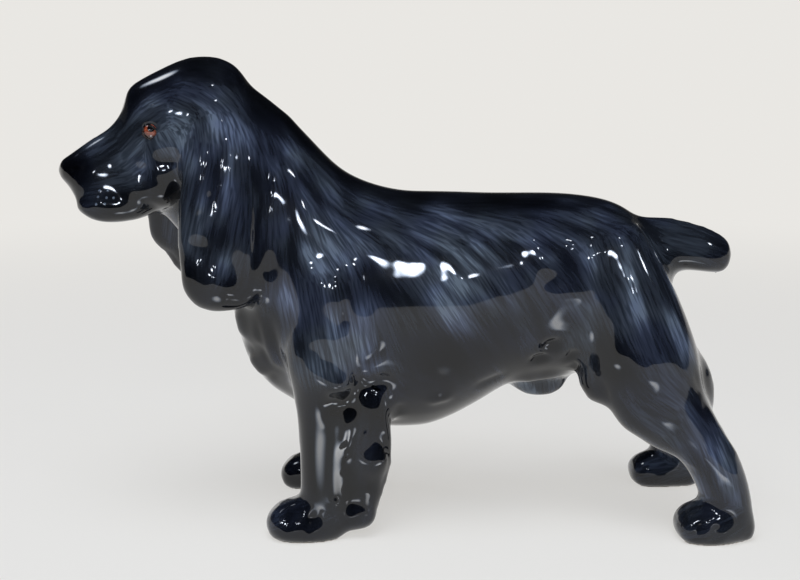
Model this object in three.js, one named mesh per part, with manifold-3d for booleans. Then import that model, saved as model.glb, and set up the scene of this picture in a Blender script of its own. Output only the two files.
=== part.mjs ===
// A standing spaniel figurine in glazed porcelain, as the potter puts it together: a hollow cast trunk
// and a hollow cast head, solid ears, legs and tail, enamelled eyes, and the clay slip that lutes them.
// Millimetres, +Z up. The dog faces -X and its left side faces -Y. The origin is on the table, under
// the middle of the figurine.

import * as THREE from 'three';
import { LoftGeometry } from 'three/addons/geometries/LoftGeometry.js';
import { mergeVertices } from 'three/addons/utils/BufferGeometryUtils.js';
import Module from 'manifold-3d';

const wasm = await Module();
wasm.setup();

// Casting: walls, luting and holes.
const WALL = 4.2; // wall that the slip leaves in the mould
const SLIP = 0.6; // luting slip between two castings
const CLEAR = 0.3; // air on each side of the slip, and round the eyes
const VENT_BORE = 3.2; // hole under the belly that lets the kiln gases out
const VENT_BEHIND = 19; // its place behind the withers

// Stance.
const BACK_HEIGHT = 92; // level back above the table
const WITHERS = 6; // x where the level back ends and the neck swings up
const NECK_SWING = 47.5; // radius of the hollow line from the back up the nape
const NECK_JOINT = 48; // degrees of swing at which the head is luted on
const JOINT_DEPTH = 43; // depth of the neck there
const HEAD_TURN = 14; // degrees that the head looks towards its left
const FORE_STANCE = 20.8; // half the track of the forelegs
const HIND_STANCE = 22.6; // half the track of the hind legs
const FORE_AHEAD = 26.5; // foreleg's line ahead of the withers
const HIND_BEHIND = 82.4; // hind pastern's line behind the withers
const HIND_STEP = 3.7; // how far the right hind paw stands ahead of the left one
const RUMP_ROUND = 6; // rounding of the rump behind its last section
const TAIL_BEHIND = 62; // root of the tail behind the withers
const EAR_LENGTH = 55; // from the top of the ear to its tip
const EAR_SWING = 7.5; // how far the right ear hangs ahead of the left one
const EAR_ABOVE = 24; // top of the ears above the middle of the neck joint
const EAR_LUTED = 26; // length of the ear that is luted to the skull
const EAR_LOCK = 0.9; // relief of the locks on the ears
const FEATHER_LOCK = 0.4; // relief of the locks on the legs
const TOE_GROOVE = 1.1; // depth of the grooves between the toes
const EYE_RADIUS = 2.3; // ball of each enamel eye
const EYE_AHEAD = 23.4; // eyes ahead of the neck joint
const EYE_ABOVE = 15.6; // eyes above the neck joint
const EYE_SPREAD = 10.7; // each eye from the middle of the face

// Facets.
const TRUNK_RINGS = 22;
const TRUNK_CORNERS = 22;
const HEAD_RINGS = 22;
const HEAD_CORNERS = 20;
const CAVITY_RINGS = 8;
const CAVITY_CORNERS = 10;
const LIMB_CORNERS = 12;
const DOME_RINGS = 2;

// Barrel of the trunk, from the rump forward. Each section stands upright: its place behind the
// withers, the rise of its top above the level back, its depth, half its width, and the share of the
// depth at which it is widest.
const BARREL = [
  { behind: 64.4, rise: -11, depth: 30, half: 12, widest: 0.5 },
  { behind: 58.4, rise: -5.4, depth: 41, half: 17.5, widest: 0.5 },
  { behind: 50, rise: -1.6, depth: 49, half: 21, widest: 0.51 },
  { behind: 38, rise: -0.3, depth: 51, half: 22.5, widest: 0.52 },
  { behind: 25, rise: -0.2, depth: 53.5, half: 24, widest: 0.53 },
  { behind: 12, rise: 0.1, depth: 61.6, half: 25.6, widest: 0.54 },
  { behind: 0, rise: 0.4, depth: 66.8, half: 26, widest: 0.54 },
];

// Neck and chest. Past the withers the sections swing forward about a centre above the back.
const NECK = [
  { swing: 10, rise: 0.3, depth: 66.8, half: 25.5, widest: 0.53 },
  { swing: 20, rise: 0.5, depth: 65.2, half: 24.5, widest: 0.51 },
  { swing: 28, rise: 0.8, depth: 59, half: 23.2, widest: 0.49 },
  { swing: 36, rise: 1.9, depth: 46, half: 20.5, widest: 0.48 },
  { swing: 45, rise: 2.7, depth: 44.8, half: 17.8, widest: 0.48 },
  { swing: 55, rise: 2.2, depth: 44, half: 15.6, widest: 0.5 },
  { swing: 66, rise: -1.5, depth: 36, half: 13, widest: 0.5 },
];

// Head, from the nose back, measured from the middle of the neck joint: how far ahead of it, the
// heights of the top and bottom lines, half the width, and how much narrower the section is at its top.
const HEAD = [
  { ahead: 45, crown: 8.8, chin: 1.8, half: 5, taper: 0 },
  { ahead: 42.9, crown: 10.4, chin: -3, half: 7, taper: 0.16 },
  { ahead: 39, crown: 13.2, chin: -5.8, half: 8.6, taper: 0.28 },
  { ahead: 34.2, crown: 16.2, chin: -7.6, half: 9.5, taper: 0.33 },
  { ahead: 30.6, crown: 20.4, chin: -8, half: 10.2, taper: 0.32 },
  { ahead: 28.6, crown: 26.4, chin: -8, half: 11, taper: 0.24 },
  { ahead: 25.5, crown: 29.1, chin: -7.4, half: 12.1, taper: 0.16 },
  { ahead: 19.5, crown: 32.2, chin: -6.4, half: 14.4, taper: 0.1 },
  { ahead: 12.5, crown: 35, chin: -4, half: 15.6, taper: 0.1 },
  { ahead: 5.5, crown: 35.4, chin: -1, half: 15.2, taper: 0.06 },
  { ahead: 0, crown: 33.2, chin: 4, half: 13, taper: 0 },
  { ahead: -3.5, crown: 28.8, chin: 10, half: 9, taper: 0 },
];

const FORWARD = new THREE.Vector3(-1, 0, 0);
const BACKWARD = new THREE.Vector3(1, 0, 0);
const UP = new THREE.Vector3(0, 0, 1);
const DOWN = new THREE.Vector3(0, 0, -1);
const LEFT = new THREE.Vector3(0, -1, 0);
const FAR = 400; // larger than the figurine, for cutting by a plane

// A closed geometry as a solid that can be cut and joined.
function solid(geometry) {
  const bare = new THREE.BufferGeometry();
  bare.setAttribute('position', geometry.getAttribute('position'));
  bare.setIndex(geometry.index);
  const merged = mergeVertices(bare, 1e-4);
  const vertProperties = merged.getAttribute('position').array;
  const triVerts = new Uint32Array(merged.index.array);
  return new wasm.Manifold(new wasm.Mesh({ numProp: 3, vertProperties, triVerts }));
}

// A solid as a geometry again.
function geometryOf(shape) {
  const { vertProperties, triVerts } = shape.getMesh();
  const geometry = new THREE.BufferGeometry();
  geometry.setAttribute('position', new THREE.BufferAttribute(vertProperties, 3));
  geometry.setIndex(new THREE.BufferAttribute(triVerts, 1));
  geometry.computeVertexNormals();
  return geometry;
}

// A smooth curve through one triple of values from each station, read at a share from 0 to 1.
function through(stations, triple) {
  const points = stations.map((station) => new THREE.Vector3(...triple(station)));
  return new THREE.CatmullRomCurve3(points, false, 'catmullrom');
}

// Signed power, which squares up the corners of an oval.
function squared(value, power) {
  return Math.sign(value) * Math.abs(value) ** (2 / power);
}

// One closed section in the plane of two directions: an egg with its own reach up, down and sideways.
function oval(section, corners, relief = () => 0) {
  const { centre, up, above, below, half, taper = 0, power = 2, shrink = 1 } = section;
  const points = [];
  for (let i = 0; i < corners; i++) {
    const angle = (i / corners) * 2 * Math.PI;
    const rise = squared(Math.sin(angle), power);
    const across = squared(Math.cos(angle), power) * (1 - taper * rise);
    const swell = shrink * relief(angle);
    const reach = rise > 0 ? above : below;
    const point = centre.clone();
    point.addScaledVector(up, rise * (reach + swell));
    point.addScaledVector(LEFT, across * (half + swell));
    points.push(point);
  }
  return points;
}

// Rings that round off the end of a loft: copies of its last section that shrink as they move out.
function dome(section, outward, length) {
  const rings = [];
  for (let k = 1; k <= DOME_RINGS; k++) {
    const turn = (k / (DOME_RINGS + 0.35)) * (Math.PI / 2);
    const shrink = Math.cos(turn);
    rings.push({
      ...section,
      centre: section.centre.clone().addScaledVector(outward, length * Math.sin(turn)),
      above: section.above * shrink,
      below: section.below * shrink,
      half: section.half * shrink,
      shrink,
    });
  }
  return rings;
}

// The skin over a row of sections, closed at both ends.
function skin(rings) {
  return solid(new LoftGeometry(rings, { capStart: true, capEnd: true }));
}

// Everything on the far side of a plane, to cut away.
function beyond(point, normal) {
  const block = new THREE.BoxGeometry(FAR, FAR, FAR);
  const turn = new THREE.Quaternion().setFromUnitVectors(UP, normal);
  const centre = point.clone().addScaledVector(normal, FAR / 2);
  block.applyMatrix4(new THREE.Matrix4().compose(centre, turn, new THREE.Vector3(1, 1, 1)));
  return solid(block);
}

// An ellipsoid for a swelling such as a cheek.
function swelling(at, radii) {
  const ball = new THREE.SphereGeometry(1, 10, 6);
  ball.rotateX(Math.PI / 2);
  ball.scale(...radii);
  ball.translate(...at);
  return solid(ball);
}

// The centre that the neck swings about, and the directions of a section at a given swing.
const SWING_CENTRE = new THREE.Vector3(WITHERS, 0, BACK_HEIGHT + NECK_SWING);

function swingFrame(degrees) {
  const swing = THREE.MathUtils.degToRad(degrees);
  const up = new THREE.Vector3(Math.sin(swing), 0, Math.cos(swing));
  const ahead = new THREE.Vector3(-Math.cos(swing), 0, Math.sin(swing));
  return { up, ahead };
}

// The trunk and neck in one loft from the rump to inside the skull. A positive inset gives the cavity
// that the cast wall leaves, and a negative one gives the seat that luted pieces are trimmed to.
function trunkLoft(inset, count = TRUNK_RINGS, corners = TRUNK_CORNERS) {
  const stations = [
    ...BARREL.map((s) => ({ ...s, x: WITHERS + s.behind, swing: 0 })),
    ...NECK.map((s) => ({ ...s, x: WITHERS })),
  ];
  const place = through(stations, (s) => [s.x, s.swing, s.rise]);
  const size = through(stations, (s) => [s.depth, s.half, s.widest]);
  const rings = [];
  for (let i = 0; i <= count; i++) {
    const { x, y: swing, z: rise } = place.getPoint(i / count);
    const { x: depth, y: half, z: widest } = size.getPoint(i / count);
    const { up } = swingFrame(swing);
    const level = new THREE.Vector3(x, 0, BACK_HEIGHT + NECK_SWING).addScaledVector(up, -NECK_SWING);
    const centre = level.addScaledVector(up, rise - depth * widest);
    const above = depth * widest - inset;
    const below = depth * (1 - widest) - inset;
    rings.push({ centre, up, above, below, half: half - inset, power: 2.15 });
  }
  const { ahead } = swingFrame(stations[stations.length - 1].swing);
  rings[count].centre.addScaledVector(ahead, -inset);
  rings.unshift(...dome(rings[0], BACKWARD, RUMP_ROUND - inset).reverse());
  return skin(rings.map((ring) => oval(ring, corners)));
}

// The head, in its own frame: origin at the middle of the neck joint, facing -X.
function headLoft(inset, count = HEAD_RINGS, corners = HEAD_CORNERS) {
  const deepEnough = HEAD.filter((s) => s.half > 1.5 * inset);
  const line = through(deepEnough, (s) => [s.ahead, s.crown, s.chin]);
  const width = through(deepEnough, (s) => [s.half, s.taper, 0]);
  const rings = [];
  for (let i = 0; i <= count; i++) {
    const { x: ahead, y: crown, z: chin } = line.getPoint(i / count);
    const { x: half, y: taper } = width.getPoint(i / count);
    const middle = (crown + chin) / 2;
    const reach = (crown - chin) / 2 - inset;
    const centre = new THREE.Vector3(-ahead, 0, middle);
    rings.push({ centre, up: UP, above: reach, below: reach, half: half - inset, taper, power: 2.3 });
  }
  const nose = dome(rings[0], FORWARD, 2.4).reverse();
  const nape = dome(rings[count], BACKWARD, 3);
  const all = [...nose, ...rings, ...nape].reverse();
  return skin(all.map((ring) => oval(ring, corners)));
}

// A leg, ear or tail: ovals square to a curved spine, rounded at both ends.
function limb(stations, { rings, corners = LIMB_CORNERS, startDome, endDome, relief = () => 0, power = 2 }) {
  const spine = through(stations, (s) => s.at);
  const size = through(stations, (s) => [s.front, s.back, s.side]);
  const sections = [];
  for (let i = 0; i <= rings; i++) {
    const share = i / rings;
    const along = spine.getTangent(share);
    const up = new THREE.Vector3().crossVectors(along, LEFT).normalize();
    const { x: above, y: below, z: half } = size.getPoint(share);
    sections.push({ centre: spine.getPoint(share), up, above, below, half, power, share });
  }
  const start = dome(sections[0], spine.getTangent(0).negate(), startDome).reverse();
  const end = dome(sections[rings], spine.getTangent(1), endDome);
  const all = [...start, ...sections, ...end];
  return skin(all.map((s) => oval(s, corners, (angle) => relief(s.share, angle))));
}

// The neck joint: its plane, and the head's place on it, turned to the side.
const JOINT = swingFrame(NECK_JOINT);
const JOINT_MIDDLE = SWING_CENTRE.clone().addScaledVector(JOINT.up, -NECK_SWING - JOINT_DEPTH / 2);
const HEAD_PLACE = new THREE.Matrix4()
  .makeTranslation(JOINT_MIDDLE)
  .multiply(new THREE.Matrix4().makeRotationZ(THREE.MathUtils.degToRad(HEAD_TURN)));

function onHead(shape) {
  return shape.transform(HEAD_PLACE.elements);
}

// Everything of the neck ahead of the joint plane, or behind it, from a given distance on.
function aheadOfJoint(gap) {
  return beyond(JOINT_MIDDLE.clone().addScaledVector(JOINT.ahead, gap), JOINT.ahead);
}

function behindJoint(gap) {
  return beyond(JOINT_MIDDLE.clone().addScaledVector(JOINT.ahead, -gap), JOINT.ahead.clone().negate());
}

// Swellings of the face: nose, flews and brows.
function face(grow) {
  const grown = (radii) => radii.map((radius) => radius + grow);
  let shape = swelling([-43.9, 0, 5.7], grown([3.4, 4.4, 3.5]));
  for (const side of [-1, 1]) {
    shape = shape.add(swelling([-32.8, side * 5.6, -3.8], grown([11, 5.7, 4.2])));
    shape = shape.add(swelling([-21.6, side * 7.2, 21], grown([6.4, 4.8, 4.2])));
  }
  return shape;
}

function eyeBall(side, radius) {
  const ball = new THREE.SphereGeometry(radius, 10, 6);
  ball.translate(-EYE_AHEAD, side * EYE_SPREAD, EYE_ABOVE);
  return onHead(solid(ball));
}

// The tuft of hair under the belly.
function tuft(grow) {
  return swelling([WITHERS + 33.5, 0, BACK_HEIGHT - 54.2], [8.6 + grow, 4.6 + grow, 4.4 + grow]);
}

// The trunk and the head grown by a gap, which pieces luted to them are trimmed to.
const seats = new Map();

function trunkSeat(gap) {
  if (!seats.has(gap)) {
    seats.set(gap, trunkLoft(-gap).add(tuft(gap)));
  }
  return seats.get(gap);
}

function headSeat(gap) {
  return onHead(headLoft(-gap).add(face(gap))).add(trunkSeat(gap));
}

// A piece trimmed to its seat, and the slip that lutes it there. The dry part of the seat gets no slip.
function luted(shape, seat, dry) {
  const piece = shape.subtract(seat(CLEAR + SLIP + CLEAR));
  const seam = shape.intersect(seat(CLEAR + SLIP)).subtract(seat(CLEAR));
  return { piece, slip: dry ? seam.subtract(dry) : seam };
}

// Long flat ears that hang from the sides of the skull, with wavy locks on the outside.
function ear(side) {
  const swing = side > 0 ? EAR_SWING : 0;
  const tip = EAR_ABOVE - EAR_LENGTH;
  const stations = [
    { at: [-5 - swing * 0.4, 13.5, EAR_ABOVE - 4], front: 7.4, back: 7.6, side: 3.4 },
    { at: [-6.4 - swing * 0.8, 17.4, EAR_ABOVE - 14], front: 9.4, back: 12, side: 4.2 },
    { at: [-7 - swing, 19.4, EAR_ABOVE - 26], front: 10.4, back: 13.6, side: 4.7 },
    { at: [-7 - swing * 0.5, 21, EAR_ABOVE - 38], front: 10.8, back: 14.2, side: 5 },
    { at: [-6.6 + swing * 0.1, 22, tip + 5.6], front: 9, back: 12.8, side: 4.8 },
  ];
  const hung = stations.map((s) => ({ ...s, at: [s.at[0], side * s.at[1], s.at[2]] }));
  const relief = (share, angle) => {
    const outside = Math.max(0, -side * Math.cos(angle));
    return outside * EAR_LOCK * Math.cos(9 * Math.sin(angle) + 5 * share);
  };
  return onHead(limb(hung, { rings: 10, corners: 24, startDome: 4, endDome: 5.6, relief }));
}

// A straight foreleg with its paw and the feathering that hangs behind it.
function foreleg(side) {
  const x = WITHERS - FORE_AHEAD;
  const y = side * FORE_STANCE;
  const column = [
    { at: [x + 2.5, y * 0.95, BACK_HEIGHT - 22], front: 9.5, back: 10, side: 7.6 },
    { at: [x + 1, y * 0.96, BACK_HEIGHT - 36], front: 11.2, back: 11.8, side: 8.8 },
    { at: [x + 0.6, y * 0.97, 44], front: 9.6, back: 10.5, side: 8 },
    { at: [x + 0.4, y * 0.98, 34], front: 7.8, back: 8.4, side: 7.2 },
    { at: [x, y, 24], front: 6.7, back: 7, side: 6.4 },
    { at: [x, y, 14], front: 6.7, back: 7, side: 6.4 },
    { at: [x, y, 6], front: 7.4, back: 7.4, side: 7 },
  ];
  const feather = [
    { at: [x + 10, y * 0.97, 41], front: 8, back: 6.6, side: 4.6 },
    { at: [x + 10.5, y, 28], front: 9, back: 8.3, side: 5 },
    { at: [x + 9.6, y, 17], front: 8.4, back: 7.8, side: 4.7 },
    { at: [x + 8.6, y, 6.6], front: 6.6, back: 5.6, side: 3.9 },
  ];
  const locks = (share, angle) => FEATHER_LOCK * Math.cos(6 * angle + 3 * share);
  return limb(column, { rings: 12, startDome: 5, endDome: 4 })
    .add(limb(feather, { rings: 7, startDome: 5, endDome: 4.4, relief: locks }))
    .add(paw(x - 4.8, y))
    .subtract(underTable());
}

// A hind leg: broad thigh with feathering behind it, bent hock and paw. The right one is a step ahead.
function hindLeg(side) {
  const x = WITHERS + HIND_BEHIND;
  const y = side * HIND_STANCE;
  const step = side > 0 ? HIND_STEP : 0;
  const leg = [
    { at: [x - 33, y * 0.56, BACK_HEIGHT - 13], front: 11, back: 11, side: 7.4 },
    { at: [x - 27, y * 0.68, BACK_HEIGHT - 28], front: 14.5, back: 13, side: 10 },
    { at: [x - 22.5, y * 0.76, 49], front: 15.4, back: 14.6, side: 10.4 },
    { at: [x - 18 - step * 0.3, y * 0.84, 36], front: 12.4, back: 12.8, side: 9.2 },
    { at: [x - 9.6 - step * 0.6, y * 0.93, 26], front: 5.8, back: 9.4, side: 7.4 },
    { at: [x - 3.2 - step, y, 18.5], front: 6.8, back: 7.4, side: 6.6 },
    { at: [x - 0.2 - step, y, 11], front: 6.8, back: 6.8, side: 6.4 },
    { at: [x + 0.4 - step, y, 5], front: 7.4, back: 7.2, side: 7 },
  ];
  const breeches = [
    { at: [x - 17, y * 0.56, 52], front: 8, back: 8, side: 5 },
    { at: [x - 11, y * 0.58, 41], front: 8.6, back: 8.6, side: 5.4 },
    { at: [x - 8, y * 0.64, 33], front: 6, back: 6, side: 5 },
  ];
  const locks = (share, angle) => FEATHER_LOCK * Math.cos(6 * angle + 3 * share);
  return limb(leg, { rings: 14, startDome: 6, endDome: 3.4 })
    .add(limb(breeches, { rings: 6, startDome: 4, endDome: 3.4, relief: locks }))
    .add(swelling([x - 33.8, y * 0.7, 46], [6.8, 5.4, 11]))
    .add(paw(x - 2.8 - step, y))
    .subtract(underTable());
}

// A paw with four toes, flat underneath.
function paw(x, y) {
  const stations = [
    { at: [x + 8.2, y, 3.2], front: 3.8, back: 5, side: 5.4 },
    { at: [x + 2, y, 4.2], front: 6.2, back: 6, side: 7.1 },
    { at: [x - 4.8, y, 4.2], front: 6, back: 6, side: 7.6 },
    { at: [x - 8.4, y, 3.2], front: 4.6, back: 5, side: 6.6 },
  ];
  const toes = (share, angle) => {
    const across = Math.cos(angle);
    const between = Math.abs(across) < 0.75 ? Math.cos(2 * Math.PI * across) ** 6 : 0;
    return -TOE_GROOVE * between * share;
  };
  return limb(stations, { rings: 5, corners: 20, startDome: 2.6, endDome: 2.8, relief: toes, power: 2.25 });
}

function underTable() {
  return beyond(new THREE.Vector3(), DOWN);
}

// The docked tail, carried level.
function dockedTail() {
  const x = WITHERS + TAIL_BEHIND;
  const z = BACK_HEIGHT - 14.6;
  return limb([
    { at: [x - 4, 0, z - 2], front: 5.6, back: 10, side: 7 },
    { at: [x + 8, 0, z - 2.4], front: 5.2, back: 9.6, side: 6.6 },
    { at: [x + 16, 0, z - 3], front: 4.8, back: 8, side: 6 },
    { at: [x + 21.4, 0, z - 4.2], front: 4.4, back: 6.2, side: 5 },
  ], { rings: 6, startDome: 4, endDome: 3.2 });
}

// The castings.
const outside = trunkLoft(0);
const hollow = trunkLoft(WALL, CAVITY_RINGS, CAVITY_CORNERS);
const vent = new THREE.CylinderGeometry(VENT_BORE / 2, VENT_BORE / 2, BACK_HEIGHT / 2, 16);
vent.rotateX(Math.PI / 2);
vent.translate(WITHERS + VENT_BEHIND, 0, BACK_HEIGHT / 4);

const trunk = outside
  .add(tuft(0))
  .subtract(hollow)
  .subtract(solid(vent))
  .subtract(aheadOfJoint(-SLIP / 2 - CLEAR));
const neckSlip = outside
  .subtract(hollow)
  .subtract(aheadOfJoint(SLIP / 2))
  .subtract(behindJoint(SLIP / 2));
const head = onHead(headLoft(0).add(face(0)))
  .add(outside)
  .subtract(hollow)
  .subtract(onHead(headLoft(WALL, CAVITY_RINGS, CAVITY_CORNERS)))
  .subtract(behindJoint(-SLIP / 2 - CLEAR))
  .subtract(eyeBall(-1, EYE_RADIUS + CLEAR))
  .subtract(eyeBall(1, EYE_RADIUS + CLEAR));

// Finishes, each mesh with its own material.
const FINISHES = {
  glaze: { color: 0x20262f, roughness: 0.12, metalness: 0 },
  slip: { color: 0xe6ded0, roughness: 0.85, metalness: 0 },
  enamel: { color: 0x9a4a26, roughness: 0.1, metalness: 0 },
};

const figurine = new THREE.Group();
figurine.name = 'spaniel_figurine';

function addPiece(name, shape, finish) {
  const mesh = new THREE.Mesh(geometryOf(shape), new THREE.MeshStandardMaterial(FINISHES[finish]));
  mesh.name = name;
  figurine.add(mesh);
}

function addLuted(name, shape, seat, dry) {
  const { piece, slip } = luted(shape, seat, dry);
  addPiece(name, piece, 'glaze');
  addPiece(`${name}_slip`, slip, 'slip');
}

// The ears are luted at the root only and hang free below it.
const rootEnd = JOINT_MIDDLE.clone().addScaledVector(UP, EAR_ABOVE - EAR_LUTED);
const looseEar = beyond(rootEnd, DOWN);

addPiece('trunk', trunk, 'glaze');
addPiece('neck_slip', neckSlip, 'slip');
addPiece('head', head, 'glaze');
for (const [hand, side] of [['left', -1], ['right', 1]]) {
  addPiece(`${hand}_eye`, eyeBall(side, EYE_RADIUS), 'enamel');
  addLuted(`${hand}_ear`, ear(side), headSeat, looseEar);
  addLuted(`${hand}_foreleg`, foreleg(side), trunkSeat);
  addLuted(`${hand}_hind_leg`, hindLeg(side), trunkSeat);
}
addLuted('tail', dockedTail(), trunkSeat);

// The middle of the figurine's footprint goes over the origin.
const bounds = new THREE.Box3().setFromObject(figurine);
const middle = bounds.getCenter(new THREE.Vector3());
for (const mesh of figurine.children) {
  mesh.geometry.translate(-middle.x, -middle.y, -bounds.min.z);
}

export default figurine;
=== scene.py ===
# %% [markdown]
# # A glazed porcelain spaniel
# The figurine is cast in pieces, luted together, painted with a brush and covered with a clear glaze.
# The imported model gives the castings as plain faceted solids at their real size. This lesson turns them
# into one smooth modelled skin, carves the hair and the face into it, cuts it into castings again and
# gives them their painted and glazed finish.

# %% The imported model
import math

import bmesh
import bpy
import numpy as np
from mathutils import Matrix, Vector, noise
from mathutils.bvhtree import BVHTree


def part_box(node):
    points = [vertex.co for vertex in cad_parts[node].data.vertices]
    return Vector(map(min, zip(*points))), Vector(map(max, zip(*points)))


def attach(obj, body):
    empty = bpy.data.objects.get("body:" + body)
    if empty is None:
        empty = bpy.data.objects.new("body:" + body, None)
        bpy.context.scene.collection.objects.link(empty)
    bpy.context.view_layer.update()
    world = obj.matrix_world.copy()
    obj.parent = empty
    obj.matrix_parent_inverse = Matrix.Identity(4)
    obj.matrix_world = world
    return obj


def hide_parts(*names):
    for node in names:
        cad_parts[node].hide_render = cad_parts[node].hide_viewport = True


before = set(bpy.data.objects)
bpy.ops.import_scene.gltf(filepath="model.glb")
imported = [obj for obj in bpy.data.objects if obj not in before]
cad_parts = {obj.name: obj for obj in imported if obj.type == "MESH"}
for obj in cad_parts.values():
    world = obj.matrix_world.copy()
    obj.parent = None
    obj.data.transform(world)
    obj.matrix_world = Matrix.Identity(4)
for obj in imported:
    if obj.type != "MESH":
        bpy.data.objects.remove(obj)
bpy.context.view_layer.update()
MM = 0.001
print("castings and slips:", len(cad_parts))

# %% [markdown]
# ## The camera
# The camera comes first, because marks on the dog are placed by looking at the photograph: a pixel is a
# line of sight, and the line meets the dog's surface at one point. The lens is a longish one at arm's
# length, a little above the dog's back.

# %% Camera
PHOTO_WIDTH = 800
PHOTO_HEIGHT = 580
SENSOR = 36.0
LENS = 54.0
AIM = Vector((-2.45, 0, 64.15)) * MM
LOOK_DOWN = math.radians(9.9)
DISTANCE = 338 * MM

camera_data = bpy.data.cameras.new("camera")
camera_data.sensor_width = SENSOR
camera_data.lens = LENS
camera_data.clip_start = 0.01
camera = bpy.data.objects.new("camera", camera_data)
back = Vector((0, -math.cos(LOOK_DOWN), math.sin(LOOK_DOWN)))
camera.location = AIM + back * DISTANCE
camera.rotation_euler = (math.pi / 2 - LOOK_DOWN, 0, 0)
bpy.context.scene.collection.objects.link(camera)
bpy.context.scene.camera = camera
PIXELS_PER_UNIT = LENS / SENSOR * PHOTO_WIDTH
camera_turn = camera.rotation_euler.to_matrix()


def sight(pixel):
    """The direction from the camera through a pixel of the photograph."""
    across = (pixel[0] - PHOTO_WIDTH / 2) / PIXELS_PER_UNIT
    up = (PHOTO_HEIGHT / 2 - pixel[1]) / PIXELS_PER_UNIT
    return (camera_turn @ Vector((across, up, -1))).normalized()


print("camera at", [round(value, 4) for value in camera.location])

# %% [markdown]
# ## One skin from the castings
# After luting, the joints are wiped flush, so on the real dog no seam shows. Boolean unions could join the
# castings, but they would keep every facet and every gap. So the castings and their slip are swollen a
# little with Displace until the thin gaps close, and Remesh makes small even squares of them. A ball plugs
# the vent hole first, so that only the outside is meshed. Smoothing then takes the facets out. Plain
# smoothing shrinks a shape, so the part that it took away is smoothed too and given back.

# %% Joined castings
SIDES = ("left", "right")
CASTINGS = ["trunk", "head", "tail"]
CASTINGS += [f"{side}_{name}" for name in ("ear", "foreleg", "hind_leg") for side in SIDES]
SLIP_OF = {name: f"{name}_slip" for name in CASTINGS}
SLIP_OF["head"] = "neck_slip"
SWELL = 0.65 * MM
SQUARE = 1.12 * MM
WELD = 0.001 * MM
VENT = Vector((22.4, 0, 38.6)) * MM
VENT_PLUG = 3.0 * MM


def joined(names):
    """One bmesh of copies of these nodes, and the name of the node that each face came from."""
    whole = bmesh.new()
    owners = []
    for name in names:
        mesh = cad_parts[name].data
        whole.from_mesh(mesh)
        owners += [name] * len(mesh.polygons)
    return whole, owners


def shaped(mesh, *modifiers):
    """A new mesh: this one after the modifiers, each given as its type and its settings."""
    holder = bpy.data.objects.new("holder", mesh)
    bpy.context.scene.collection.objects.link(holder)
    for kind, settings in modifiers:
        modifier = holder.modifiers.new(kind, kind)
        for name, value in settings.items():
            setattr(modifier, name, value)
    seen = holder.evaluated_get(bpy.context.evaluated_depsgraph_get())
    result = bpy.data.meshes.new_from_object(seen)
    bpy.data.objects.remove(holder)
    return result


cast, owners = joined(CASTINGS)
cast_tree = BVHTree.FromBMesh(cast)
cast.free()
slips = [name for name in SLIP_OF.values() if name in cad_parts]
clay, _ = joined(CASTINGS + slips)
bmesh.ops.remove_doubles(clay, verts=clay.verts, dist=WELD)
bmesh.ops.create_icosphere(clay, subdivisions=2, radius=VENT_PLUG, matrix=Matrix.Translation(VENT))
clay_mesh = bpy.data.meshes.new("clay")
clay.to_mesh(clay_mesh)
clay.free()
outer = shaped(
    clay_mesh,
    ("DISPLACE", {"strength": SWELL, "mid_level": 0.0}),
    ("REMESH", {"mode": "VOXEL", "voxel_size": SQUARE}),
)
print("squares:", len(outer.polygons))


# %% Rows of numbers from a mesh
def points_of(mesh):
    """Places of the vertices, one row each."""
    values = np.empty(len(mesh.vertices) * 3, np.float32)
    mesh.vertices.foreach_get("co", values)
    return values.reshape(-1, 3).astype(float)


def normals_of(mesh):
    """Directions that the vertices face, one row each."""
    values = np.empty(len(mesh.vertices) * 3, np.float32)
    mesh.vertex_normals.foreach_get("vector", values)
    return values.reshape(-1, 3).astype(float)


def edges_of(mesh):
    """The two vertices of each edge, one row each."""
    values = np.empty(len(mesh.edges) * 2, np.int32)
    mesh.edges.foreach_get("vertices", values)
    return values.reshape(-1, 2)


def move_to(mesh, points):
    """Puts the vertices at these places."""
    mesh.vertices.foreach_set("co", points.astype(np.float32).ravel())
    mesh.update()


# %% Smoothing
PULL = 0.5


def smoother(edges, count):
    """A function that moves each row of values towards the mean of its neighbours."""
    first, second = edges.T
    links = np.bincount(edges.ravel(), minlength=count)[:, None]

    def neighbour_mean(values):
        sums = [
            np.bincount(first, column[second], count) + np.bincount(second, column[first], count)
            for column in values.T
        ]
        return np.stack(sums, axis=1) / links

    def smooth(values, rounds, share=1.0):
        for _ in range(rounds):
            values = values + PULL * share * (neighbour_mean(values) - values)
        return values

    return smooth


# %% One smooth skin
SMOOTHING = {"trunk": 3.4, "head": 1.9, "ear": 3.0, "foreleg": 2.2, "hind_leg": 2.4, "tail": 2.2}
ELBOW_HEIGHT = 50 * MM
BLEND_ROUNDS = 20


def casting_at(point):
    """The name of the casting whose solid lies nearest."""
    return owners[cast_tree.find_nearest(Vector(point))[2]]


names = [casting_at(point) for point in points_of(outer)]
reach = np.array([SMOOTHING[name.replace("left_", "").replace("right_", "")] for name in names])[:, None]
upper_leg = np.array(["leg" in name for name in names]) & (points_of(outer)[:, 2] > ELBOW_HEIGHT)
reach[upper_leg] = SMOOTHING["trunk"]
smooth = smoother(edges_of(outer), len(outer.vertices))
reach = smooth(reach, BLEND_ROUNDS)
share = (reach / reach.max()) ** 2
rounds = round((reach.max() * MM / SQUARE) ** 2 * 2 / PULL)
rough = points_of(outer)
once = smooth(rough, rounds, share)
rounded = once + smooth(rough - once, rounds, share)
move_to(outer, rounded)
move_to(outer, rounded - SWELL * normals_of(outer))
skin = shaped(outer, ("SUBSURF", {"levels": 1, "render_levels": 1}))
skin_tree = BVHTree.FromPolygons(points_of(outer).tolist(), [list(p.vertices) for p in outer.polygons])
print("skin:", len(skin.vertices), "vertices after", rounds, "rounds")

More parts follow.
